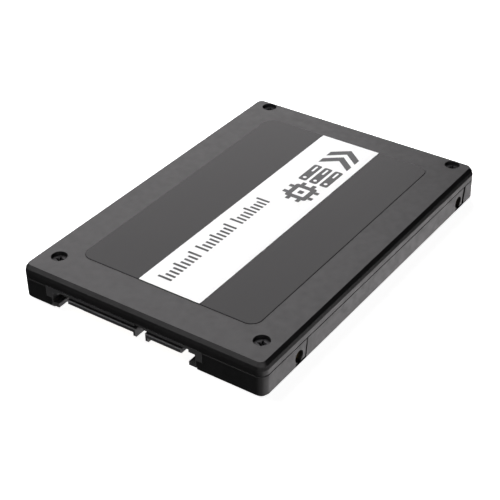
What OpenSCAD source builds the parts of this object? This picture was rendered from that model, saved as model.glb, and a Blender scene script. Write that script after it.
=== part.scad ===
// A 2.5 inch solid state drive: a two-part moulded case around one circuit board.
// X is the width, Y the length with the connector at -Y, Z is up from the resting face.

/* [Case] */
// Width of the drive
drive_w = 69.85; // [69.6:0.05:70.1]
// Length of the drive
drive_l = 100.0; // [99.8:0.05:100.5]
// Thickness of the drive
drive_h = 9.5; // [9.2:0.1:10]
// Radius of the upright corner edges
corner_r = 2.25; // [2:0.25:3.5]
// Thickness of the side walls
wall_t = 1.3; // [1.2:0.05:1.5]
// Thickness of the floor
floor_t = 1.2; // [1.1:0.05:1.3]
// Thickness of the top plate
lid_t = 1.5; // [1.3:0.1:1.7]
// Height of the parting line between the case and the cover
part_z = 6.0; // [5.95:0.05:6.1]
// Width of the whole rim around the top face, seen from above
top_bevel_w = 0.95; // [0.8:0.05:1.2]
// Height of the chamfer around the top face
top_bevel_h = 0.95; // [0.8:0.05:1.2]
// Width of the steep facet below that chamfer
brow_w = 0.25; // [0.1:0.05:0.35]
// Height of the steep facet below that chamfer
brow_h = 0.95; // [0.6:0.05:1.1]
// Size of the chamfer around the underside
foot_bevel = 0.8; // [0.4:0.1:0.8]

/* [Labels] */
// Width of the label recess in the cover
recess_w = 51.0; // [46:0.5:52]
// Front end of the label recess
recess_y0 = -39.5; // [-40:0.5:-37]
// Rear end of the label recess
recess_y1 = 41.4; // [38:0.5:42]
// Depth of the label recess
recess_depth = 0.15; // [0.1:0.05:0.25]
// Corner radius of the label recess
recess_r = 3.0; // [1:0.5:5]
// Thickness of the dark label, a stiff plate that stands a little proud of the cover
dark_label_t = 0.26; // [0.2:0.02:0.4]
// Play between the dark label and the wall of its recess
dark_label_gap = 0.06; // [0.05:0.01:0.2]
// Thickness of the white label
white_label_t = 0.06; // [0.05:0.01:0.1]
// Left edge of the white label
white_x0 = -7.6; // [-10:0.1:-6]
// Width of the white label
white_w = 17.7; // [16:0.1:20]
// Corner radius of the white label
white_r = 0.25; // [0.1:0.05:1]

/* [Mounting holes] */
// Height of the side holes above the resting face
side_hole_z = 3.0; // [2.9:0.05:3.1]
// Y of the front pair of mounting holes
hole_y0 = -36.0; // [-36.1:0.05:-35.9]
// Spacing of the mounting holes along Y
hole_span_y = 76.6; // [76.5:0.05:76.7]
// Spacing of the bottom mounting holes across the drive
hole_span_x = 61.72; // [61.6:0.02:61.8]
// Wall radius of the M3 threads
thread_r = 1.25; // [1.2:0.01:1.3]
// Radius of the clearance holes in the case, around the threads
hole_clear_r = 1.6; // [1.5:0.05:1.7]

/* [Cover screws] */
// Distance of the cover screws from the centre line
screw_x = 29.4; // [29.2:0.1:29.6]
// Y of the front cover screws
screw_y0 = -42.5; // [-42.8:0.1:-42.2]
// Y of the rear cover screws
screw_y1 = 47.0; // [46.8:0.1:47.0]
// Radius of a screw head and of the mouth of its hole
screw_head_r = 1.95; // [1.8:0.05:2.0]
// Depth of a screw head below the top face
screw_sink = 0.85; // [0.6:0.05:1.0]

/* [Connector] */
// X of the connector's centre
plug_x = -4.6; // [-4.8:0.1:-4.2]
// Width over both tongues
tongues_w = 33.6; // [33.4:0.1:33.7]
// Width of the power tongue
power_w = 20.57; // [20.5:0.01:20.6]
// Width of the data tongue
data_w = 10.41; // [10.3:0.01:10.5]
// Height of the tongues' middle plane
tongue_z = 3.5; // [3.45:0.05:3.55]
// Thickness of the tongues
tongue_t = 1.23; // [1.2:0.01:1.25]
// Depth of the well that the cable plugs enter
well_depth = 6.0; // [5.8:0.1:6.2]
// Distance of the tongues' ends behind the front face
tongue_back = 0.4; // [0.2:0.1:0.4]
// Distance between the two side guides
guide_span = 42.0; // [41.9:0.1:42.4]
// Width of a contact
contact_w = 0.84; // [0.7:0.02:0.9]

/* [Circuit board] */
// Height of the board's underside
board_z = 3.05; // [3:0.05:3.1]
// Thickness of the board
board_t = 1.0; // [0.8:0.1:1.2]
// Width of the board where it passes the case's corner posts
board_neck_w = 54.0; // [53:0.5:55]
// Full width of the board
board_w = 65.0; // [63:0.5:66]

/* [Hidden] */
$fn = 64;
eps = 0.01;

half_w = drive_w / 2;
half_l = drive_l / 2;
seam_bevel = 0.08;
seam_gap = 0.12;
inner_x = half_w - wall_t;
inner_y = half_l - wall_t;
inner_top = drive_h - lid_t;

// Outer side profiles of the two shells, as [inset, height] points from the bottom up
case_profile = [
    [foot_bevel, 0], [0, foot_bevel], [0, part_z - seam_bevel], [seam_bevel, part_z]
];
cover_profile = [
    [seam_bevel, part_z + seam_gap], [0, part_z + seam_gap + seam_bevel],
    [0, drive_h - top_bevel_h - brow_h], [brow_w, drive_h - top_bevel_h], [top_bevel_w, drive_h]
];

// Corner posts and their screws
post_r = 2.6;
pilot_r = 0.8;
shank_r = 1.0;
shank_clear_r = 1.15;
screw_len = 6.0;
head_cone_h = 0.85;
drive_slot_r = 0.75;
screw_places = [for (x = [-screw_x, screw_x], y = [screw_y0, screw_y1]) [x, y]];

// Mounting holes and their nut blocks
hole_ys = [hole_y0, hole_y0 + hole_span_y];
nut_w = 5.3;
nut_l = 6.0;
nut_top = 5.3;
thread_depth = 4.2;
hole_floor = side_hole_z - hole_clear_r;

// Registration lip of the case, inside the cover's wall
lip_t = 0.6;
lip_h = 0.8;
lip_root = 0.4;
lip_gap = 0.05;
side_lip_l = 76;
rear_lip_l = 48;
lip_y = 2;

// Label on the underside, in a shallow pocket
bottom_label_half_w = 24;
bottom_label_y0 = -28;
bottom_label_y1 = 38;
bottom_label_gap = 0.3;
bottom_pocket_depth = 0.2;
bottom_label_t = 0.14;

// Board
board_front = -40.4;
board_rear = 43.5;
wing_front = -31.0;
wing_rear = 35.0;
board_top = board_z + board_t;
board_screw_x = 29.3;
board_screw_ys = [-27, 31];
board_post_r = 2.2;
board_pilot_r = 0.7;
board_screw_places = [for (x = [-board_screw_x, board_screw_x], y = board_screw_ys) [x, y]];

// Connector
well_y = -half_l + well_depth;
tongue_z0 = tongue_z - tongue_t / 2;
power_x0 = plug_x - tongues_w / 2;
power_x1 = power_x0 + power_w;
data_x1 = plug_x + tongues_w / 2;
data_x0 = data_x1 - data_w;
tongue_y = -half_l + tongue_back;
key_w = 0.92;
key_z = 1.9;
guide_t = 1.0;
guide_half = guide_span / 2;
guide_web = 0.3;
arm_l = 1.75;
arm_low_z = 1.1;
arm_low_t = 1.05;
arm_high_z = 4.75;
arm_high_t = 1.0;
ear_half = 23.0;
ear_z = 3.15;
ear_top = 6.2;
hood_z = 5.45;
hood_l = 0.8;
hood_notch = 0.37;
body_z0 = 1.3;
body_top = 5.9;
contact_pitch = 1.27;
contact_t = 0.2;
contact_z = board_z - contact_t;
tail_y = -38.4;
tab_w = 2.0;
tab_l = 3.0;
tab_t = 0.3;
tab_xs = [plug_x - 20.4, plug_x + 20.4];

// Opening in the front wall, with a little clearance around the connector
opening_gap = 0.15;
opening_top = 6.35;

// Components on the board
flash_size = [14, 18, 1.1];
flash_places = [[-14.5, 7], [14.5, 7], [-14.5, 29], [14.5, 29]];

// Places of the small parts: [x, y] on the top of the board
ceramic_places = concat(
    [for (i = [0:6]) [-14.5 + 3 * i, -5.2]],
    [for (i = [0:5]) [-25, -12 + 2.6 * i]],
    [for (i = [0:5]) [5.6, -27.5 + 3.1 * i]],
    [for (i = [0:4]) [25, 2 + 4 * i]],
    [for (i = [0:6]) [2.5 + 1.9 * i, -34]]
);
resistor_places = concat(
    [for (i = [0:5]) [-3 + 1.6 * i, 40.6]],
    [for (i = [0:4]) [-1.2 + 0.6 * (i % 2), 3 + 7 * i]],
    [for (i = [0:4]) [20.5 + 1.7 * i, -20]]
);
tantalum_places = [[-24, 20], [-24, 26], [-24, 32], [24, 26], [24, 32]];
inductor_places = [[-25.1, -25], [-20.3, -25], [24.5, -11]];
regulator_places = [[-22, -19.5], [20, -11.5]];

// ---------------------------------------------------------------- shared shapes

// Side profile of a plain block with a chamfer around its top: [inset, height] points.
function chamfered(z0, z1, edge = 0) =
    concat([[0, z0], [0, z1 - edge]], edge > 0 ? [[edge, z1]] : []);

// Upright solid with rounded corners; its profile holds [inset, height] from the bottom up.
module rounded_block(w, l, r, profile) {
    last = len(profile) - 1;
    module side(half) {
        polygon(concat(
            [for (p = profile) [half - p[0], p[1]]],
            [for (i = [last:-1:0]) [profile[i][0] - half, profile[i][1]]]
        ));
    }
    translate([0, l / 2 - r, 0]) rotate([90, 0, 0]) linear_extrude(l - 2 * r) side(w / 2);
    translate([-w / 2 + r, 0, 0]) rotate([90, 0, 90]) linear_extrude(w - 2 * r) side(l / 2);
    for (x = [-w / 2 + r, w / 2 - r], y = [-l / 2 + r, l / 2 - r])
        translate([x, y, 0]) rotate_extrude() polygon(concat(
            [[0, profile[0][1]]], [for (p = profile) [r - p[0], p[1]]], [[0, profile[last][1]]]
        ));
}

// Flat sheet with rounded corners between two opposite corners.
module rounded_sheet(x0, x1, y0, y1, r, z, t) {
    translate([(x0 + x1) / 2, (y0 + y1) / 2, 0]) rounded_block(x1 - x0, y1 - y0, r, chamfered(z, z + t));
}

// Box between two opposite corners.
module block(low, high) {
    translate(low) cube(high - low);
}

// Hole or pin along Z.
module upright(x, y, r, z0, z1) {
    translate([x, y, z0]) cylinder(r = r, h = z1 - z0);
}

// Flat black package with a chamfered top edge and a pin-one dimple.
module package(x, y, size, z) {
    edge = 0.12;
    dimple_r = size[0] > 6 ? 0.5 : 0.25;
    dimple_in = size[0] > 6 ? 1.3 : 0.7;
    dimple_depth = 0.08;
    half = [size[0] / 2, size[1] / 2];
    top = z + size[2];
    difference() {
        translate([x, y, 0]) union() {
            rotate([90, 0, 0]) translate([0, 0, -half[1] + edge]) linear_extrude(size[1] - 2 * edge)
                polygon([
                    [-half[0], z], [half[0], z], [half[0], top - edge],
                    [half[0] - edge, top], [-half[0] + edge, top], [-half[0], top - edge]
                ]);
            block([-half[0], -half[1], z], [half[0], half[1], top - edge]);
        }
        upright(x - half[0] + dimple_in, y + half[1] - dimple_in, dimple_r, top - dimple_depth, top + 1);
    }
}

// ---------------------------------------------------------------- case

// Space that the connector takes in the front wall: wide above, narrow below.
module connector_opening(top) {
    wide = ear_half + opening_gap;
    narrow = guide_half + guide_web + opening_gap;
    well = guide_half + guide_t + opening_gap;
    inside = -inner_y + eps;
    block([plug_x - wide, -half_l - 1, ear_z - opening_gap], [plug_x + wide, inside, top]);
    block([plug_x - narrow, -half_l - 1, -1], [plug_x + narrow, inside, ear_z]);
    block([plug_x - well, -inner_y - eps, -1], [plug_x + well, well_y + opening_gap, floor_t + 1]);
}

// Leaning slit behind each side hole, and the low slot that joins it to the hole.
module side_windows() {
    slit_ws = [0.5, 1.1];
    slit_depth = 0.8;
    slit_lean = 10;
    slot_low = foot_bevel + 0.05;
    slot_high = hole_floor + 0.1;
    slot_depth = 1.0;
    slot_ys = [-1.3, 2.7];
    for (s = [-1, 1], i = [0, 1]) {
        translate([s * half_w, hole_ys[i] + 3, (slot_low + part_z) / 2]) rotate([-slit_lean, 0, 0])
            cube([2 * slit_depth, slit_ws[i], part_z - slot_low], center = true);
        translate([s * half_w, hole_ys[i] + (slot_ys[0] + slot_ys[1]) / 2, (slot_low + slot_high) / 2])
            cube([2 * slot_depth, slot_ys[1] - slot_ys[0], slot_high - slot_low], center = true);
    }
}

// Lip of the case along both sides and the rear, which the cover's walls close over;
// play widens it into the rabbet that the cover needs.
module registration_lip(play = 0) {
    t = lip_t + play;
    h = lip_h + lip_root + 2 * play;
    z = part_z + (lip_h - lip_root) / 2;
    for (s = [-1, 1]) translate([s * (inner_x + t / 2 - play), lip_y, z])
        cube([t + 2 * play, side_lip_l + 8 * play, h], center = true);
    translate([0, inner_y + t / 2 - play, z])
        cube([rear_lip_l + 8 * play, t + 2 * play, h], center = true);
}

// Outline of the bottom label, gap smaller all round.
module bottom_sheet(gap, z, t) {
    x = bottom_label_half_w - gap;
    rounded_sheet(-x, x, bottom_label_y0 + gap, bottom_label_y1 - gap, 2 - gap, z, t);
}

module base_case() {
    color([0.12, 0.12, 0.125]) difference() {
        union() {
            difference() {
                rounded_block(drive_w, drive_l, corner_r, case_profile);
                rounded_block(2 * inner_x, 2 * inner_y, corner_r - wall_t, chamfered(floor_t, part_z + 1));
            }
            // posts under the four cover screws
            for (p = screw_places) upright(p[0], p[1], post_r, floor_t - eps, part_z);
            // posts under the board
            for (p = board_screw_places) upright(p[0], p[1], board_post_r, floor_t - eps, board_z);
            registration_lip();
        }
        for (p = screw_places) upright(p[0], p[1], pilot_r, floor_t + 0.6, part_z + 1);
        for (p = board_screw_places)
            upright(p[0], p[1], board_pilot_r, floor_t + 0.3, board_z + 1);
        for (y = hole_ys) {
            for (s = [-1, 1]) {
                translate([s * (inner_x - 1), y, side_hole_z]) rotate([0, s * 90, 0])
                    cylinder(r = hole_clear_r, h = wall_t + 2);
                upright(s * hole_span_x / 2, y, hole_clear_r, -1, floor_t + 1);
            }
        }
        connector_opening(part_z + 1);
        bottom_sheet(0, -1, 1 + bottom_pocket_depth);
        side_windows();
    }
}

module top_cover() {
    mouth_depth = screw_sink + 0.05;
    color([0.12, 0.12, 0.125]) difference() {
        union() {
            difference() {
                rounded_block(drive_w, drive_l, corner_r, cover_profile);
                rounded_block(2 * inner_x, 2 * inner_y, corner_r - wall_t, chamfered(part_z - 1, inner_top));
            }
            for (p = screw_places) upright(p[0], p[1], post_r, part_z, inner_top + eps);
        }
        registration_lip(lip_gap);
        // countersunk screw holes
        for (p = screw_places) {
            translate([p[0], p[1], 0]) rotate_extrude() polygon([
                [0, part_z - 1], [shank_clear_r, part_z - 1],
                [shank_clear_r, drive_h - mouth_depth - head_cone_h],
                [screw_head_r + 0.05, drive_h - mouth_depth],
                [screw_head_r + 0.05, drive_h + 1], [0, drive_h + 1]
            ]);
        }
        rounded_sheet(-recess_w / 2, recess_w / 2, recess_y0, recess_y1, recess_r,
            drive_h - recess_depth, 1);
        // the top edge of the connector opening reaches a little into the cover
        block([plug_x - ear_half - opening_gap, -half_l - 1, part_z - 1],
            [plug_x + ear_half + opening_gap, -inner_y + eps, opening_top]);
    }
}

// Countersunk screws with a cross-shaped drive recess.
module cover_screws() {
    head_top = drive_h - screw_sink;
    color([0.2, 0.2, 0.21]) for (p = screw_places) {
        translate([p[0], p[1], head_top]) difference() {
            rotate_extrude() polygon([
                [0, 0], [screw_head_r - 0.05, 0], [screw_head_r - 0.05, -0.12],
                [shank_r, -0.12 - head_cone_h + 0.05], [shank_r, -(head_top - part_z)],
                [pilot_r, -(head_top - part_z)], [pilot_r, -screw_len], [0, -screw_len]
            ]);
            for (a = [0, 90]) rotate([0, 0, a + 20])
                translate([0, 0, -0.3]) cube([2.1, 0.42, 1.0], center = true);
            translate([0, 0, -0.8]) cylinder(r1 = 0.15, r2 = drive_slot_r, h = 0.8 + eps);
        }
    }
}

// Blocks with one thread from the side and one from below.
module mounting_nuts() {
    color([0.78, 0.62, 0.3]) for (s = [-1, 1], y = hole_ys) {
        difference() {
            translate([s * (inner_x - nut_w / 2), y, (floor_t + nut_top) / 2])
                cube([nut_w, nut_l, nut_top - floor_t], center = true);
            translate([s * (inner_x + 1), y, side_hole_z]) rotate([0, -s * 90, 0])
                cylinder(r = thread_r, h = thread_depth - wall_t + 1);
            upright(s * hole_span_x / 2, y, thread_r, 0, nut_top + 1);
        }
    }
}

// ---------------------------------------------------------------- labels

module dark_label() {
    gap = dark_label_gap;
    color([0.1, 0.1, 0.105])
        rounded_sheet(-recess_w / 2 + gap, recess_w / 2 - gap, recess_y0 + gap, recess_y1 - gap,
            recess_r - gap, drive_h - recess_depth, dark_label_t);
}

module white_label() {
    gap = dark_label_gap + 0.02;
    color([0.95, 0.95, 0.95])
        rounded_sheet(white_x0, white_x0 + white_w, recess_y0 + gap, recess_y1 - gap,
            white_r, drive_h - recess_depth + dark_label_t, white_label_t);
}

module bottom_label() {
    color([0.85, 0.86, 0.87])
        bottom_sheet(bottom_label_gap, bottom_pocket_depth - bottom_label_t, bottom_label_t);
}

// ---------------------------------------------------------------- connector

// Middle of each contact: power first from the left, then data.
power_contact_xs = [for (i = [0:14]) power_x0 + 0.93 + contact_w / 2 + i * contact_pitch];
data_contact_xs = [for (i = [0:6]) data_x1 - 0.73 - contact_w / 2 - i * contact_pitch];
long_power = [3, 8, 10, 11];
long_data = [0, 3, 6];
long_y = -half_l + 0.55;
short_y = -half_l + 1.05;

// One side guide, C-shaped and open towards the tongues; s is its side.
module side_guide(s) {
    x = plug_x + s * guide_half;
    front = -half_l;
    wall_y = -inner_y + opening_gap;
    module across(x0, x1, y0, y1, z0, z1) {
        block([min(x + s * x0, x + s * x1), y0, z0], [max(x + s * x0, x + s * x1), y1, z1]);
    }
    across(0, guide_web, front, well_y + eps, arm_low_z, ear_top);
    across(0, ear_half - guide_half, front, wall_y, ear_z, ear_top);
    across(0, guide_t, wall_y - eps, well_y + eps, arm_low_z + 0.2, ear_top);
    across(-arm_l, guide_web, front, well_y + eps, arm_low_z, arm_low_z + arm_low_t);
    across(-arm_l, guide_web, front, well_y + eps, arm_high_z, arm_high_z + arm_high_t);
}

module contact_bars(xs, long_ones) {
    for (i = [0:len(xs) - 1]) {
        is_long = len(search(i, long_ones)) > 0;
        block([xs[i] - contact_w / 2, is_long ? long_y : short_y, contact_z],
            [xs[i] + contact_w / 2, tail_y, board_z]);
    }
}

module tab_shapes() {
    for (x = tab_xs)
        block([x - tab_w / 2, board_front - 1.6, board_top],
            [x + tab_w / 2, board_front + tab_l, board_top + tab_t]);
}

module connector_housing() {
    color([0.07, 0.07, 0.07]) difference() {
        union() {
            // body behind the well
            block([plug_x - guide_half - guide_t, well_y, body_z0],
                [plug_x + guide_half + guide_t, board_front, body_top]);
            // tongues and their keys
            block([power_x0, tongue_y, tongue_z0], [power_x1, well_y + eps, tongue_z0 + tongue_t]);
            block([data_x0, tongue_y, tongue_z0], [data_x1, well_y + eps, tongue_z0 + tongue_t]);
            block([power_x1 - key_w, tongue_y, key_z], [power_x1, well_y + eps, tongue_z0 + eps]);
            block([data_x0, tongue_y, key_z], [data_x0 + key_w, well_y + eps, tongue_z0 + eps]);
            // hood over the tongues
            block([plug_x - guide_half - eps, -half_l, hood_z],
                [plug_x + guide_half + eps, -half_l + hood_l, ear_top]);
            side_guide(-1);
            side_guide(1);
        }
        // notch in the hood between the tongues
        block([power_x1, -half_l - 1, hood_z - 1], [data_x0, -half_l + hood_notch, ear_top + 1]);
        contact_bars(power_contact_xs, long_power);
        contact_bars(data_contact_xs, long_data);
        tab_shapes();
    }
}

module power_contacts() {
    color([0.85, 0.68, 0.3]) contact_bars(power_contact_xs, long_power);
}

module signal_contacts() {
    color([0.85, 0.68, 0.3]) contact_bars(data_contact_xs, long_data);
}

module connector_tabs() {
    color([0.7, 0.7, 0.72]) tab_shapes();
}

// ---------------------------------------------------------------- circuit board

module circuit_board() {
    color([0.05, 0.25, 0.12]) difference() {
        union() {
            block([-board_neck_w / 2, board_front, board_z], [board_neck_w / 2, board_rear, board_top]);
            block([-board_w / 2, wing_front, board_z], [board_w / 2, wing_rear, board_top]);
        }
        for (p = board_screw_places) upright(p[0], p[1], 1.1, board_z - 1, board_top + 1);
    }
}

module board_screws() {
    head_r = 1.9;
    head_top = board_top + 0.9;
    head_edge = 0.2;
    shank_r = 1.0;
    slot = [2.0, 0.4, 1.0];
    color([0.75, 0.75, 0.77]) for (p = board_screw_places) {
        translate([p[0], p[1], 0]) difference() {
            rotate_extrude() polygon([
                [0, floor_t + 0.4], [board_pilot_r, floor_t + 0.4], [board_pilot_r, board_z],
                [shank_r, board_z], [shank_r, board_top], [head_r, board_top],
                [head_r, head_top - head_edge], [head_r - head_edge, head_top], [0, head_top]
            ]);
            for (a = [0, 90]) rotate([0, 0, a])
                translate([0, 0, head_top]) cube(slot, center = true);
        }
    }
}

// ---------------------------------------------------------------- components

module controller_chip() {
    color([0.12, 0.12, 0.13]) package(-9, -21, [17, 17, 1.3], board_top);
}

module working_memory_chip() {
    color([0.12, 0.12, 0.13]) package(12.5, -22, [9, 13, 1.0], board_top);
}

// The first four flash chips are on top of the board, the others below it.
module flash_chip(i) {
    p = flash_places[i % 4];
    color([0.12, 0.12, 0.13])
        if (i < 4) package(p[0], p[1], flash_size, board_top);
        else translate([0, 0, 2 * board_z]) mirror([0, 0, 1]) package(p[0], p[1], flash_size, board_z);
}

// Small eight-lead package with flat leads on two sides.
module firmware_chip() {
    x = 22;
    y = -27;
    lead_pitch = 1.27;
    color([0.12, 0.12, 0.13]) {
        package(x, y, [4, 5, 1.4], board_top);
        for (s = [-1, 1], i = [0:3])
            translate([x + s * 2.45, y + lead_pitch * (i - 1.5), board_top + 0.1])
                cube([0.9, 0.42, 0.2], center = true);
    }
}

module power_chip() {
    color([0.12, 0.12, 0.13]) package(-19, -34.5, [5, 5, 0.9], board_top);
}

module regulator_chips() {
    color([0.12, 0.12, 0.13]) for (p = regulator_places) package(p[0], p[1], [3, 3, 0.9], board_top);
}

// Shielded coils: a square block with a round winding window on top.
module power_inductors() {
    color([0.3, 0.3, 0.31]) for (p = inductor_places) {
        translate([p[0], p[1], 0]) difference() {
            rounded_block(4, 4, 0.5, chamfered(board_top, board_top + 2.0, 0.15));
            upright(0, 0, 1.5, board_top + 1.9, board_top + 3);
        }
    }
}

module tantalum_capacitors() {
    color([0.75, 0.5, 0.15]) for (p = tantalum_places) {
        translate([p[0], p[1], 0])
            rounded_block(3.0, 4.6, 0.2, chamfered(board_top, board_top + 1.8, 0.15));
    }
}

// Two-ended chip part: body and end caps as one solid.
module chip_part(p, l, w, h) {
    cap = 0.25;
    translate([p[0], p[1], board_top]) {
        block([-w / 2, -l / 2 + cap, 0.03], [w / 2, l / 2 - cap, h - 0.03]);
        for (s = [-1, 1]) translate([0, s * (l - cap) / 2, h / 2]) cube([w + 0.04, cap, h], center = true);
    }
}

module ceramic_capacitors() {
    color([0.72, 0.6, 0.45]) for (p = ceramic_places) chip_part(p, 1.6, 0.8, 0.8);
}

module chip_resistors() {
    color([0.1, 0.1, 0.1]) for (p = resistor_places) chip_part(p, 1.0, 0.5, 0.35);
}

module surge_fuse() {
    color([0.3, 0.45, 0.3]) chip_part([-24.2, -34], 3.2, 1.6, 0.8);
}

module crystal_oscillator() {
    color([0.8, 0.8, 0.82]) translate([3, -17, 0])
        rounded_block(2.5, 3.2, 0.3, chamfered(board_top, board_top + 0.8, 0.08));
}

// ---------------------------------------------------------------- nodes

base_case();
top_cover();
cover_screws();
mounting_nuts();
dark_label();
white_label();
bottom_label();
connector_housing();
power_contacts();
signal_contacts();
connector_tabs();
circuit_board();
board_screws();
controller_chip();
working_memory_chip();
flash_chip(0);  // flash_chip_1
flash_chip(1);  // flash_chip_2
flash_chip(2);  // flash_chip_3
flash_chip(3);  // flash_chip_4
flash_chip(4);  // flash_chip_5
flash_chip(5);  // flash_chip_6
flash_chip(6);  // flash_chip_7
flash_chip(7);  // flash_chip_8
firmware_chip();
power_chip();
regulator_chips();
power_inductors();
tantalum_capacitors();
ceramic_capacitors();
chip_resistors();
surge_fuse();
crystal_oscillator();
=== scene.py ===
"""Looks of a 2.5 inch solid state drive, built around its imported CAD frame.

Shapes and the sizes of surface detail are given in millimetres, and turned into metres where
they enter a mesh or a material. The stage, the lights and the camera are in metres. The
connector faces -y and the cover faces +z.
"""

import math

import bmesh
import bpy
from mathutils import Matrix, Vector


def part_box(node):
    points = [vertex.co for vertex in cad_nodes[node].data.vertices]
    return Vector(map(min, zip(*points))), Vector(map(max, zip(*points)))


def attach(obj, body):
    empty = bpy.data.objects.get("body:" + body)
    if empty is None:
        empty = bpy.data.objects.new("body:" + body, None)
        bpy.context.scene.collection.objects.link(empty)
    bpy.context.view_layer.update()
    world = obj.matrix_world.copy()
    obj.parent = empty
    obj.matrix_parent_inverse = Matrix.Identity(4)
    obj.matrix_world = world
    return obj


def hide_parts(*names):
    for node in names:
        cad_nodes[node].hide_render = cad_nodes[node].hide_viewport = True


MM = 0.001
BODY = "root"

# Points of a CAD mesh that lie closer than this are one point, in millimetres
MERGE_GAP = 0.002
# Faces that meet at a smaller angle than this are one flat face, in degrees
FLAT_ANGLE = 0.3
# From this angle up, the line between two faces stays sharp, in degrees
RIDGE_ANGLE = 10
# From this angle up, the edge between two faces is rounded, in degrees
ROUNDED_ANGLE = 30
# A lead-in is cut only on edges that turn outward by more than this, in degrees
LEAD_IN_ANGLE = 60
ROUNDING_STEPS = 2
# Thickness of print and solder, in millimetres
PRINT_T = 0.012

# Most values of a cloudy noise lie between these two
NOISE_LOW = 0.3
NOISE_HIGH = 0.7

STAGE_RADIUS = 3.0
LIGHT_DISTANCE = 0.7
# Colours of the lights that show in reflections and of those that only shade
REFLECTION_TINT = (1.0, 0.97, 0.985)
SHADING_TINT = (1.0, 1.0, 1.0)

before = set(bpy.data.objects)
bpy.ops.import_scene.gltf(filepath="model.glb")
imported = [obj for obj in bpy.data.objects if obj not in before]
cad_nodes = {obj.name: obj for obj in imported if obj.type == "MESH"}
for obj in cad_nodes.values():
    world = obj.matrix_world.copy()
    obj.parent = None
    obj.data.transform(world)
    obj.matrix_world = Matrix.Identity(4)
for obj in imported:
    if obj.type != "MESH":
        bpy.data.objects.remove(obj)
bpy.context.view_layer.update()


# ------------------------------------------------------------------ material tools


def grey(level):
    """A grey with a trace of blue."""
    return (level, level, level * 1.03)


def scaled(color, factor):
    """The colour made darker or lighter by a factor."""
    return [channel * factor for channel in color]


def principled(name, color, roughness, **sockets):
    """A material with one Principled shader; what is even all over sits on its sockets."""
    material = bpy.data.materials.new(name)
    material.use_nodes = True
    tree = material.node_tree
    shader = next(n for n in tree.nodes if n.type == "BSDF_PRINCIPLED")
    shader.inputs["Base Color"].default_value = (*color, 1.0)
    shader.inputs["Roughness"].default_value = roughness
    for socket, value in sockets.items():
        shader.inputs[socket.replace("_", " ")].default_value = value
    return material, tree, shader


def object_space(tree, size, stretch=(1, 1, 1)):
    """The piece's own coordinates, scaled so that one unit is size millimetres."""
    coords = tree.nodes.new("ShaderNodeTexCoord")
    mapping = tree.nodes.new("ShaderNodeMapping")
    mapping.inputs["Scale"].default_value = [s / (size * MM) for s in stretch]
    tree.links.new(coords.outputs["Object"], mapping.inputs["Vector"])
    return mapping.outputs["Vector"]


def noise(tree, size, detail=2.0, stretch=(1, 1, 1)):
    """Cloudy noise from 0 to 1 with features of about size millimetres."""
    texture = tree.nodes.new("ShaderNodeTexNoise")
    texture.inputs["Scale"].default_value = 1.0
    texture.inputs["Detail"].default_value = detail
    tree.links.new(object_space(tree, size, stretch), texture.inputs["Vector"])
    return texture.outputs["Fac"]


def grains(tree, size):
    """Rounded grains from 0 to 1, each about size millimetres across."""
    texture = tree.nodes.new("ShaderNodeTexVoronoi")
    texture.inputs["Scale"].default_value = 1.0
    tree.links.new(object_space(tree, size), texture.inputs["Vector"])
    return texture.outputs["Distance"]


def vary_color(tree, shader, value, dark, light, start=NOISE_LOW, end=NOISE_HIGH):
    """Colours the surface from dark to light while value goes from start to end."""
    ramp = tree.nodes.new("ShaderNodeValToRGB")
    for element, place, color in zip(ramp.color_ramp.elements, (start, end), (dark, light)):
        element.position = place
        element.color = (*color, 1.0)
    tree.links.new(value, ramp.inputs["Fac"])
    tree.links.new(ramp.outputs["Color"], shader.inputs["Base Color"])


def vary_roughness(tree, shader, value, low, high):
    """Changes the roughness from low to high over the usual range of a noise value."""
    node = tree.nodes.new("ShaderNodeMapRange")
    node.inputs["From Min"].default_value = NOISE_LOW
    node.inputs["From Max"].default_value = NOISE_HIGH
    node.inputs["To Min"].default_value = low
    node.inputs["To Max"].default_value = high
    tree.links.new(value, node.inputs["Value"])
    tree.links.new(node.outputs["Result"], shader.inputs["Roughness"])


def bump(tree, shader, height, depth, below=None):
    """Raises the surface by height times depth millimetres, on top of another bump."""
    node = tree.nodes.new("ShaderNodeBump")
    node.inputs["Distance"].default_value = depth * MM
    tree.links.new(height, node.inputs["Height"])
    if below:
        tree.links.new(below.outputs["Normal"], node.inputs["Normal"])
    tree.links.new(node.outputs["Normal"], shader.inputs["Normal"])
    return node


# ------------------------------------------------------------------ materials


def moulded_plastic(name, level, roughness, grain=0.16, grain_depth=0.006):
    """Dark moulded plastic: spark-eroded grain, cloudy gloss and a slight tone drift."""
    material, tree, shader = principled(name, grey(level), roughness)
    drift = noise(tree, size=9.0, detail=4.0)
    clouds = noise(tree, size=2.0, detail=6.0)
    pits = noise(tree, size=grain / 3, detail=3.0)
    vary_color(tree, shader, drift, grey(level * 0.85), grey(level * 1.15))
    vary_roughness(tree, shader, clouds, roughness - 0.045, roughness + 0.055)
    coarse = bump(tree, shader, grains(tree, grain), grain_depth)
    bump(tree, shader, pits, grain_depth / 2, coarse)
    return material


def printed_film(name, level, roughness, gloss):
    """Smooth dark printed film with a faint rolled direction along the drive."""
    material, tree, shader = principled(name, grey(level), roughness, Specular_IOR_Level=gloss)
    drift = noise(tree, size=14.0, detail=3.0)
    rolled = noise(tree, size=1.2, detail=4.0, stretch=(1, 0.12, 1))
    waves = noise(tree, size=1.4, detail=3.0)
    vary_color(tree, shader, drift, grey(level * 0.9), grey(level * 1.1))
    vary_roughness(tree, shader, rolled, roughness - 0.008, roughness + 0.012)
    bump(tree, shader, waves, 0.001)
    return material


def coated_paper(name, color, roughness):
    """Coated label stock: soft fibres below a smooth coat."""
    material, tree, shader = principled(name, color, roughness)
    fibres = noise(tree, size=0.35, detail=6.0, stretch=(1, 0.4, 1))
    vary_color(tree, shader, fibres, scaled(color, 0.965), color, start=0.25, end=0.5)
    bump(tree, shader, fibres, 0.002)
    return material


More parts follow.
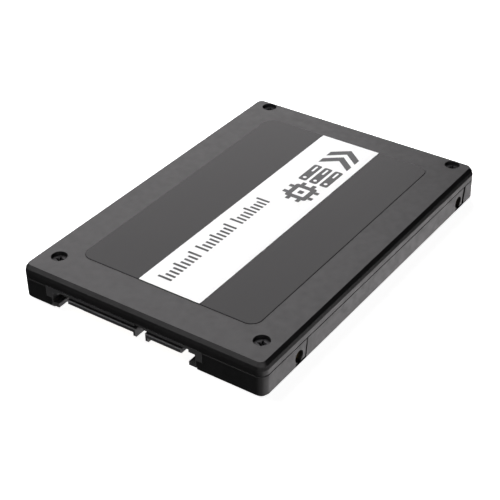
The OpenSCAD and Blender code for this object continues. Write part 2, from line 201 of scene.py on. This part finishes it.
def ink(name, level):
    """Matt printing ink, a little uneven where it soaked in."""
    material, tree, shader = principled(name, grey(level), 0.5)
    speckle = noise(tree, size=0.2, detail=5.0)
    vary_color(tree, shader, speckle, grey(level * 0.9), grey(level * 1.12))
    return material


def metal(name, color, roughness, brush=0.0, depth=0.003):
    """Bare or plated metal with faint stains; brush draws its streaks out along the drive."""
    material, tree, shader = principled(name, color, roughness, Metallic=1.0)
    stains = noise(tree, size=1.5, detail=5.0)
    streaks = noise(tree, size=0.3, detail=4.0, stretch=(1, 1 - brush, 1))
    vary_color(tree, shader, stains, scaled(color, 0.8), color)
    vary_roughness(tree, shader, streaks, roughness - 0.06, roughness + 0.1)
    bump(tree, shader, streaks, depth)
    return material


def board_laminate(name):
    """Green solder mask, a little uneven, over rows of copper traces."""
    material, tree, shader = principled(name, (0.01, 0.09, 0.03), 0.3)
    traces = tree.nodes.new("ShaderNodeTexBrick")
    pattern = (
        ("Scale", 1.0),
        ("Mortar Size", 0.09),
        ("Mortar Smooth", 0.2),
        ("Brick Width", 2.3),
        ("Row Height", 0.8),
    )
    greens = (
        ("Color1", (0.006, 0.07, 0.022)),
        ("Color2", (0.009, 0.085, 0.028)),
        ("Mortar", (0.02, 0.16, 0.045)),
    )
    for socket, number in pattern:
        traces.inputs[socket].default_value = number
    for socket, color in greens:
        traces.inputs[socket].default_value = (*color, 1.0)
    tree.links.new(object_space(tree, 1.0), traces.inputs["Vector"])
    tree.links.new(traces.outputs["Color"], shader.inputs["Base Color"])
    dents = noise(tree, size=0.3, detail=4.0)
    over_traces = bump(tree, shader, traces.outputs["Fac"], 0.02)
    bump(tree, shader, dents, 0.004, over_traces)
    vary_roughness(tree, shader, noise(tree, size=3.0), 0.26, 0.36)
    return material


def glazed(name, color, roughness):
    """Fired ceramic or moulded resin with fine speckles."""
    material, tree, shader = principled(name, color, roughness)
    speckle = noise(tree, size=0.12, detail=5.0)
    vary_color(tree, shader, speckle, scaled(color, 0.8), color)
    bump(tree, shader, speckle, 0.002)
    return material


MATERIALS = {
    "case_plastic": moulded_plastic("case_plastic", 0.01, 0.42),
    # Copy of the case plastic for the rounded edges: smoother, and lighter as a painted highlight
    "case_edge_painted_highlight": moulded_plastic("case_edge_painted_highlight", 0.013, 0.37, grain_depth=0.003),
    "connector_plastic": moulded_plastic("connector_plastic", 0.055, 0.55, grain=0.1, grain_depth=0.004),
    # Far lighter copy of the connector plastic for its rounded edges and lead-ins: a painted highlight
    "connector_edge_painted_highlight": moulded_plastic("connector_edge_painted_highlight", 0.3, 0.4, grain=0.1, grain_depth=0.002),
    "chip_plastic": moulded_plastic("chip_plastic", 0.02, 0.5, grain=0.08, grain_depth=0.003),
    # Lighter copy of the chip plastic for the rounded edges: a painted highlight
    "chip_edge_painted_highlight": moulded_plastic("chip_edge_painted_highlight", 0.03, 0.42, grain=0.08, grain_depth=0.002),
    "dark_label": printed_film("dark_label", 0.007, 0.25, gloss=0.285),
    "white_label": coated_paper("white_label", (0.93, 0.93, 0.93), 0.4),
    "bottom_label": coated_paper("bottom_label", (0.78, 0.79, 0.8), 0.4),
    "dark_ink": ink("dark_ink", 0.018),
    "grey_ink": ink("grey_ink", 0.055),
    "pale_ink": ink("pale_ink", 0.45),
    "board_laminate": board_laminate("board_laminate"),
    "screw_steel": metal("screw_steel", grey(0.05), 0.4),
    "bare_steel": metal("bare_steel", grey(0.6), 0.3, brush=0.7),
    "tin": metal("tin", (0.72, 0.72, 0.7), 0.34, depth=0.001),
    "brass": metal("brass", (0.55, 0.42, 0.22), 0.4),
    "gold": metal("gold", (0.95, 0.66, 0.27), 0.32, brush=0.8, depth=0.0003),
    "ferrite": glazed("ferrite", (0.06, 0.06, 0.065), 0.5),
    "tantalum_resin": glazed("tantalum_resin", (0.62, 0.34, 0.05), 0.45),
    "capacitor_ceramic": glazed("capacitor_ceramic", (0.45, 0.3, 0.17), 0.4),
    "resistor_glaze": glazed("resistor_glaze", (0.015, 0.015, 0.017), 0.25),
    "fuse_glaze": glazed("fuse_glaze", (0.12, 0.28, 0.14), 0.3),
}


# ------------------------------------------------------------------ mesh tools


def new_piece(name, mesh, *materials):
    """A shown piece on the drive's body with the given materials."""
    piece = bpy.data.objects.new(name, mesh)
    bpy.context.scene.collection.objects.link(piece)
    for material in materials:
        mesh.materials.append(MATERIALS[material])
    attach(piece, BODY)
    return piece


def apply_modifiers(piece):
    """Makes the shape that the modifiers give the piece's own mesh."""
    depsgraph = bpy.context.evaluated_depsgraph_get()
    mesh = bpy.data.meshes.new_from_object(piece.evaluated_get(depsgraph))
    piece.modifiers.clear()
    piece.data = mesh


def merged(node):
    """The CAD node's mesh with the points joined that its faces share."""
    shape = bmesh.new()
    shape.from_mesh(cad_nodes[node].data)
    bmesh.ops.remove_doubles(shape, verts=shape.verts, dist=MERGE_GAP * MM)
    return shape


def mark_low_ridges(mesh):
    """Keeps the line sharp where two faces meet at too low an angle to be rounded."""
    shape = bmesh.new()
    shape.from_mesh(mesh)
    low, high = math.radians(RIDGE_ANGLE), math.radians(ROUNDED_ANGLE)
    for edge in shape.edges:
        if len(edge.link_faces) == 2 and low < edge.calc_face_angle() < high:
            edge.smooth = False
    shape.to_mesh(mesh)
    shape.free()


def add_lead_in(shape, front, width):
    """Chamfers the outward edges that lie in the plane y = front; the chamfers take the second material, a
    far lighter copy of the plastic that paints a highlight on them.
    """
    reach = 0.02

    def is_front(edge):
        return (
            all(abs(v.co.y - front * MM) < reach * MM for v in edge.verts)
            and len(edge.link_faces) == 2
            and edge.calc_face_angle_signed() > math.radians(LEAD_IN_ANGLE)
        )

    chamfers = bmesh.ops.bevel(
        shape, geom=[edge for edge in shape.edges if is_front(edge)], offset=width * MM,
        offset_type="OFFSET", segments=1, profile=0.5, affect="EDGES", clamp_overlap=True
    )
    # The chamfers get the lighter edge material: a painted highlight along the lead-ins
    for face in chamfers["faces"]:
        face.material_index = 1


def clean_mesh(node, lead_in=None):
    """The CAD node's solid with each flat face in one piece, and its lead-in if it has one."""
    shape = merged(node)
    bmesh.ops.dissolve_limit(
        shape, angle_limit=math.radians(FLAT_ANGLE), verts=shape.verts, edges=shape.edges
    )
    for face in shape.faces:
        face.material_index = 0
    if lead_in:
        add_lead_in(shape, *lead_in)
    shape.verts.index_update()
    points = [vertex.co for vertex in shape.verts]
    faces = [[vertex.index for vertex in face.verts] for face in shape.faces]
    mesh = bpy.data.meshes.new(node + "_finished")
    mesh.from_pydata(points, [], faces)
    mesh.polygons.foreach_set("material_index", [face.material_index for face in shape.faces])
    shape.free()
    mesh.shade_smooth()
    mark_low_ridges(mesh)
    return mesh


def softened(node, radius, surface, edge=None, lead_in=None):
    """Stands for a CAD node: the same solid with its sharp edges rounded by radius. The rounded edges take
    the edge material, a lighter copy of the surface that paints a highlight on them.
    """
    materials = [surface, edge] if edge else [surface]
    piece = new_piece(node + "_finished", clean_mesh(node, lead_in), *materials)
    rounding = piece.modifiers.new("rounding", "BEVEL")
    rounding.width = radius * MM
    rounding.segments = ROUNDING_STEPS
    rounding.limit_method = "ANGLE"
    rounding.angle_limit = math.radians(ROUNDED_ANGLE)
    # The bevel faces get the edge material: a lighter copy that paints a highlight on the rounded edges
    rounding.material = 1 if edge else -1
    shading = piece.modifiers.new("shading", "WEIGHTED_NORMAL")
    shading.weight = 100
    shading.keep_sharp = True
    apply_modifiers(piece)
    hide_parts(node)
    return piece


def connected(start):
    """All points that edges join to the start point, itself among them."""
    island = [start]
    seen = {start}
    for vertex in island:
        for edge in vertex.link_edges:
            other = edge.other_vert(vertex)
            if other not in seen:
                seen.add(other)
                island.append(other)
    return island


def solids(node):
    """Lowest and highest corners, in millimetres, of each separate solid in a CAD node."""
    shape = merged(node)
    boxes = []
    seen = set()
    for start in shape.verts:
        if start not in seen:
            island = connected(start)
            seen.update(island)
            axes = list(zip(*(vertex.co / MM for vertex in island)))
            boxes.append(tuple(Vector([pick(axis) for axis in axes]) for pick in (min, max)))
    shape.free()
    return boxes


def end_capped(node, body):
    """A CAD node of two-ended chip parts, with tinned caps on both ends of each one."""
    cap = 0.26
    piece = softened(node, 0.03, body)
    piece.data.materials.append(MATERIALS["tin"])
    boxes = solids(node)
    for face in piece.data.polygons:
        place = face.center / MM
        low, high = min(boxes, key=lambda box: ((box[0] + box[1]) / 2 - place).length)
        if min(place.y - low.y, high.y - place.y) < cap:
            face.material_index = 1


# ------------------------------------------------------------------ pieces that stand for CAD nodes


def finish_case():
    """Both shells, and the connector, whose tongues start a little behind its guides."""
    tongue_setback = 0.4
    lead_in_w = 0.2
    tongue_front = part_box("connector_housing")[0].y / MM + tongue_setback
    # The rounded edges take the lighter edge copies of the plastics: painted highlights
    softened("top_cover", 0.09, "case_plastic", "case_edge_painted_highlight")
    softened("base_case", 0.07, "case_plastic", "case_edge_painted_highlight")
    softened(
        "connector_housing", 0.05, "connector_plastic", "connector_edge_painted_highlight", lead_in=(tongue_front, lead_in_w)
    )


def finish_metal():
    """Screws, mounting blocks, contacts, hold-downs and the oscillator's can."""
    softened("cover_screws", 0.03, "screw_steel")
    softened("board_screws", 0.04, "bare_steel")
    softened("mounting_nuts", 0.08, "brass")
    softened("power_contacts", 0.03, "gold")
    softened("signal_contacts", 0.03, "gold")
    softened("connector_tabs", 0.05, "tin")
    softened("crystal_oscillator", 0.05, "bare_steel")


def finish_board():
    """The circuit board with its chips and small parts."""
    softened("circuit_board", 0.04, "board_laminate")
    chips = [node for node in cad_nodes if "chip" in node and node != "chip_resistors"]
    for node in chips:
        # The chips' rounded edges take the lighter copy, a painted highlight
        softened(node, 0.04, "chip_plastic", "chip_edge_painted_highlight")
    softened("power_inductors", 0.08, "ferrite")
    softened("tantalum_capacitors", 0.1, "tantalum_resin")
    end_capped("ceramic_capacitors", "capacitor_ceramic")
    end_capped("chip_resistors", "resistor_glaze")
    end_capped("surge_fuse", "fuse_glaze")


def finish_labels():
    """The film, the white label on it and the label of the underside."""
    softened("dark_label", 0.05, "dark_label")
    softened("white_label", 0.02, "white_label")
    softened("bottom_label", 0.03, "bottom_label")


# ------------------------------------------------------------------ print and solder


def rounded_outline(x0, y0, x1, y1, r):
    """Points around a rounded rectangle, in millimetres."""
    steps = 6
    corners = ((x1 - r, y0 + r, -90), (x1 - r, y1 - r, 0), (x0 + r, y1 - r, 90), (x0 + r, y0 + r, 180))
    return [
        (x + r * math.cos(math.radians(start + 90 * i / steps)),
         y + r * math.sin(math.radians(start + 90 * i / steps)))
        for x, y, start in corners
        for i in range(steps + 1)
    ]


def printed(name, outlines, z, material):
    """A thin layer around the height z: the area inside an odd number of the outlines."""
    curve = bpy.data.curves.new(name, "CURVE")
    curve.dimensions = "2D"
    curve.fill_mode = "BOTH"
    curve.extrude = PRINT_T * MM / 2
    for points in outlines:
        spline = curve.splines.new("POLY")
        spline.points.add(len(points) - 1)
        for point, (x, y) in zip(spline.points, points):
            point.co = (x * MM, y * MM, 0, 1)
        spline.use_cyclic_u = True
    shape = bpy.data.objects.new(name + "_shape", curve)
    bpy.context.scene.collection.objects.link(shape)
    bpy.context.view_layer.update()
    depsgraph = bpy.context.evaluated_depsgraph_get()
    mesh = bpy.data.meshes.new_from_object(shape.evaluated_get(depsgraph))
    bpy.data.objects.remove(shape)
    for vertex in mesh.vertices:
        vertex.co.z += z * MM
    piece = new_piece(name, mesh, material)


def small_print(foot, start, z):
    """Three groups of plain scale ticks, where a line of small print would be."""
    groups = 3
    group_pitch = 14.45
    ticks = 9
    pitch = 1.45
    tick_w = 0.7
    tick_r = 0.2
    tall, short = 4.0, 2.9
    tall_every = 4
    outlines = []
    for group in range(groups):
        for i in range(ticks):
            height = tall if i % tall_every == 0 else short
            y = start + group * group_pitch + i * pitch
            outlines.append(rounded_outline(foot - height, y, foot, y + tick_w, tick_r))
    printed("label_small_print", outlines, z, "dark_ink")


def chip_pictogram(size):
    """A chip seen from above: a thick frame, a core and two pins on each side."""
    pin_w = 1.2
    pin_l = 1.25
    pin_r = 0.2
    pin_offset = 1.5
    pin_gap = 0.02
    frame_t = 1.4
    core = 1.5
    outer_r, inner_r = 0.7, 0.3
    mid = size / 2
    edge = pin_l + pin_gap
    hole = edge + frame_t
    outlines = [
        rounded_outline(edge, edge, size - edge, size - edge, outer_r),
        rounded_outline(hole, hole, size - hole, size - hole, inner_r),
        rounded_outline(mid - core / 2, mid - core / 2, mid + core / 2, mid + core / 2, inner_r),
    ]
    for place in (mid - pin_offset, mid + pin_offset):
        left, right = place - pin_w / 2, place + pin_w / 2
        for low in (0, size - pin_l):
            outlines.append(rounded_outline(low, left, low + pin_l, right, pin_r))
            outlines.append(rounded_outline(left, low, right, low + pin_l, pin_r))
    return outlines


def stack_pictogram(size):
    """Three stacked storage units, each with a lamp and a grip slot."""
    units = 3
    unit_h = 2.45
    unit_w = size - 0.4
    unit_r = 0.6
    lamp_r = 0.5
    lamp_start = 1.0
    slot_half, slot_r = 0.3, 0.29
    slot_start, slot_end = 5.0, 7.8
    outlines = []
    for level in range(units):
        x = level * (size - unit_h) / (units - 1)
        mid = x + unit_h / 2
        lamp_end = lamp_start + 2 * lamp_r
        outlines.append(rounded_outline(x, 0, x + unit_h, unit_w, unit_r))
        outlines.append(rounded_outline(mid - lamp_r, lamp_start, mid + lamp_r, lamp_end, lamp_r * 0.99))
        outlines.append(rounded_outline(mid - slot_half, slot_start, mid + slot_half, slot_end, slot_r))
    return outlines


def arrows_pictogram(size):
    """Two thick chevrons that point along the drive."""
    thick = 2.3
    rise = 3.4
    starts = (0.3, 4.3)
    mid = size / 2
    return [
        [(0, y), (0, y + thick), (mid, y + thick + rise), (size, y + thick), (size, y), (mid, y + rise)]
        for y in starts
    ]


def large_print(left, start, z):
    """Three bold pictograms, where the large print would be."""
    size = 8.9
    pitch = 9.75
    outlines = []
    for i, pictogram in enumerate((chip_pictogram, stack_pictogram, arrows_pictogram)):
        outlines += [[(left + x, start + i * pitch + y) for x, y in points] for points in pictogram(size)]
    printed("label_large_print", outlines, z, "grey_ink")


def print_top_label():
    """The print of the white label, placed from the label's low corner."""
    small_foot, small_start = 6.95, 3.25
    large_left, large_start = 6.5, 48.1
    low, high = (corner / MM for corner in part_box("white_label"))
    z = high.z + PRINT_T / 2
    small_print(low.x + small_foot, low.y + small_start, z)
    large_print(low.x + large_left, low.y + large_start, z)


def plain_rows(left, right, back):
    """A bold bar and six thin ones of different lengths, where lines of text would be."""
    bold_t, bold_r = 4, 0.5
    thin_t, thin_r = 1.1, 0.3
    first = 9
    pitch = 3
    shares = (1.0, 0.82, 0.94, 0.6, 0.88, 0.7)
    rows = [rounded_outline(left, back - bold_t, right, back, bold_r)]
    for row, share in enumerate(shares):
        y = back - first - pitch * row
        rows.append(rounded_outline(left, y, left + (right - left) * share, y + thin_t, thin_r))
    return rows


def dot_grid(left, front):
    """Every second square of a grid, like a chessboard."""
    count = 6
    pitch = 2.2
    dot = 1.5
    dot_r = 0.3
    places = [(i, j) for i in range(count) for j in range(count) if (i + j) % 2 == 0]
    corners = [(left + pitch * i, front + pitch * j) for i, j in places]
    return [rounded_outline(x, y, x + dot, y + dot, dot_r) for x, y in corners]


def ruled_box(right, front):
    """A thin frame around three bars."""
    box_w, box_h, box_r = 20, 12.5, 0.8
    line, hole_r = 0.6, 0.5
    bars = 3
    margin, bar_t, bar_pitch, bar_r = 2, 1, 3, 0.3
    left = right - box_w
    back = front + box_h
    outlines = [
        rounded_outline(left, front, right, back, box_r),
        rounded_outline(left + line, front + line, right - line, back - line, hole_r),
    ]
    for i in range(bars):
        y = front + margin + bar_pitch * i
        outlines.append(rounded_outline(left + margin, y, right - margin, y + bar_t, bar_r))
    return outlines


def print_bottom_label():
    """Plain rows, a dot grid and a ruled box on the label of the underside, all generic."""
    margin = 4
    low, high = (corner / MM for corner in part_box("bottom_label"))
    left, front, right, back = low.x + margin, low.y + margin, high.x - margin, high.y - margin
    outlines = plain_rows(left, right, back) + dot_grid(left, front) + ruled_box(right, front)
    printed("bottom_label_print", outlines, low.z - PRINT_T / 2, "dark_ink")


def add_solder_pads():
    """A pad under each end of each chip part, showing past its end and its sides."""
    past_end, under_part = 0.3, 0.25
    past_side = 0.1
    pad_r = 0.1
    board_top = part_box("circuit_board")[1].z / MM
    pads = []
    for node in ("ceramic_capacitors", "chip_resistors", "surge_fuse", "tantalum_capacitors"):
        for low, high in solids(node):
            left, right = low.x - past_side, high.x + past_side
            for y in (low.y - past_end, high.y - under_part):
                pads.append(rounded_outline(left, y, right, y + past_end + under_part, pad_r))
    printed("solder_pads", pads, board_top + PRINT_T / 2, "tin")


def add_polarity_bands():
    """A pale band near one end of each tantalum capacitor."""
    side_gap = 0.25
    end_gap = 0.5
    band_w = 0.7
    band_r = 0.1
    boxes = solids("tantalum_capacitors")
    bands = []
    for low, high in boxes:
        back = high.y - end_gap
        bands.append(rounded_outline(low.x + side_gap, back - band_w, high.x - side_gap, back, band_r))
    top = boxes[0][1].z
    printed("polarity_bands", bands, top + PRINT_T / 2, "pale_ink")


# ------------------------------------------------------------------ stage


def area_light(name, direction, size, radiance, diffuse=True, glossy=True):
    """A soft light that faces the drive from a direction, as shading, as a reflection or both."""
    light = bpy.data.lights.new(name, "AREA")
    light.shape = "RECTANGLE"
    light.size, light.size_y = size
    light.energy = radiance * math.pi * size[0] * size[1]
    light.color = REFLECTION_TINT if glossy else SHADING_TINT
    holder = bpy.data.objects.new(name, light)
    bpy.context.scene.collection.objects.link(holder)
    way = Vector(direction).normalized()
    holder.location = way * LIGHT_DISTANCE
    holder.rotation_euler = way.to_track_quat("Z", "Y").to_euler()
    holder.visible_camera = False
    holder.visible_diffuse = diffuse
    holder.visible_glossy = glossy


def make_lights():
    """Direction, size and radiance of each light. The last ones serve the other sides."""
    area_light("back_box", (-0.74, 0.5, 0.5), (0.85, 0.7), 1.75, diffuse=False)
    area_light("high_box", (-0.3, 0.3, 0.9), (0.5, 0.4), 2.15, diffuse=False)
    area_light("label_key", (-0.75, 0.2, 0.63), (0.8, 0.8), 5.2, glossy=False)
    area_light("front_box", (-0.45, -0.72, 0.52), (0.7, 0.5), 1.1, diffuse=False)
    area_light("side_bounce", (0.16, 0.72, -0.68), (0.7, 0.4), 2.1, diffuse=False)
    area_light("corner_bounce", (0.8, 0.0, -0.62), (0.7, 0.45), 1.5, diffuse=False)
    area_light("front_bounce", (-0.1, -0.85, -0.5), (0.9, 0.5), 0.75, glossy=False)
    area_light("behind_box", (0.5, -0.74, 0.45), (0.6, 0.45), 1.3, diffuse=False)
    area_light("left_side_box", (0.87, -0.25, 0.42), (0.45, 0.4), 1.2, diffuse=False)
    area_light("rear_left_bounce", (-0.55, 0.7, -0.45), (0.8, 0.4), 1.2, diffuse=False)
    area_light("near_bounce", (0.45, -0.78, -0.42), (0.5, 0.35), 0.6, diffuse=False)
    area_light("under_light", (0.1, 0.2, -1.0), (0.9, 0.9), 0.8, glossy=False)


def glowing(name, glow):
    """A matt white material that shines by itself, so that it stays evenly pale."""
    return principled(
        name, (0.85, 0.85, 0.85), 0.9,
        Emission_Color=(1, 1, 1, 1), Emission_Strength=glow, Specular_IOR_Level=0
    )


def clear_from_behind(tree, shader):
    """Leaves the shader on the front of each face and makes its back see-through."""
    side = tree.nodes.new("ShaderNodeNewGeometry")
    clear = tree.nodes.new("ShaderNodeBsdfTransparent")
    chooser = tree.nodes.new("ShaderNodeMixShader")
    tree.links.new(side.outputs["Backfacing"], chooser.inputs[0])
    tree.links.new(shader.outputs[0], chooser.inputs[1])
    tree.links.new(clear.outputs[0], chooser.inputs[2])
    tree.links.new(chooser.outputs[0], tree.nodes["Material Output"].inputs["Surface"])


def stage_piece(name, shape, material):
    """A piece of the stage that the camera sees, and that reflections and shadows leave out."""
    mesh = bpy.data.meshes.new(name)
    shape.to_mesh(mesh)
    shape.free()
    mesh.materials.append(material)
    piece = bpy.data.objects.new(name, mesh)
    bpy.context.scene.collection.objects.link(piece)
    piece.visible_glossy = False
    piece.visible_diffuse = False
    piece.visible_shadow = False


def make_floor():
    """A pale floor, see-through from below, so that the drive's underside stays in view."""
    material, tree, shader = glowing("floor", 0.95)
    clear_from_behind(tree, shader)
    shape = bmesh.new()
    bmesh.ops.create_circle(shape, cap_ends=True, segments=64, radius=STAGE_RADIUS)
    stage_piece("floor", shape, material)


def make_surround():
    """A white ball around the whole scene, and a dim world behind it."""
    material, _, _ = glowing("surround", 1.0)
    shape = bmesh.new()
    bmesh.ops.create_icosphere(shape, subdivisions=4, radius=STAGE_RADIUS)
    stage_piece("surround", shape, material)
    world = bpy.data.worlds.new("world")
    world.use_nodes = True
    world.node_tree.nodes["Background"].inputs["Color"].default_value = (0.02, 0.02, 0.02, 1)
    bpy.context.scene.world = world


def make_camera():
    """Over the front right corner, looking down at the connector side."""
    azimuth, elevation = math.radians(33.3), math.radians(34.6)
    distance = 0.332
    target = Vector((0.0087, 0.0021, 0))
    focal_length = 94.2
    shift = -0.0894
    back = Vector((
        math.sin(azimuth) * math.cos(elevation),
        -math.cos(azimuth) * math.cos(elevation),
        math.sin(elevation),
    ))
    lens = bpy.data.cameras.new("camera")
    lens.lens = focal_length
    lens.shift_x = shift
    lens.clip_start = 0.01
    camera = bpy.data.objects.new("camera", lens)
    camera.location = target + back * distance
    camera.rotation_euler = back.to_track_quat("Z", "Y").to_euler()
    bpy.context.scene.collection.objects.link(camera)
    bpy.context.scene.camera = camera
    bpy.context.scene.view_settings.view_transform = "Standard"


# ------------------------------------------------------------------ the scene

finish_case()
finish_metal()
finish_board()
add_solder_pads()
add_polarity_bands()
finish_labels()
print_top_label()
print_bottom_label()
make_lights()
make_floor()
make_surround()
make_camera()
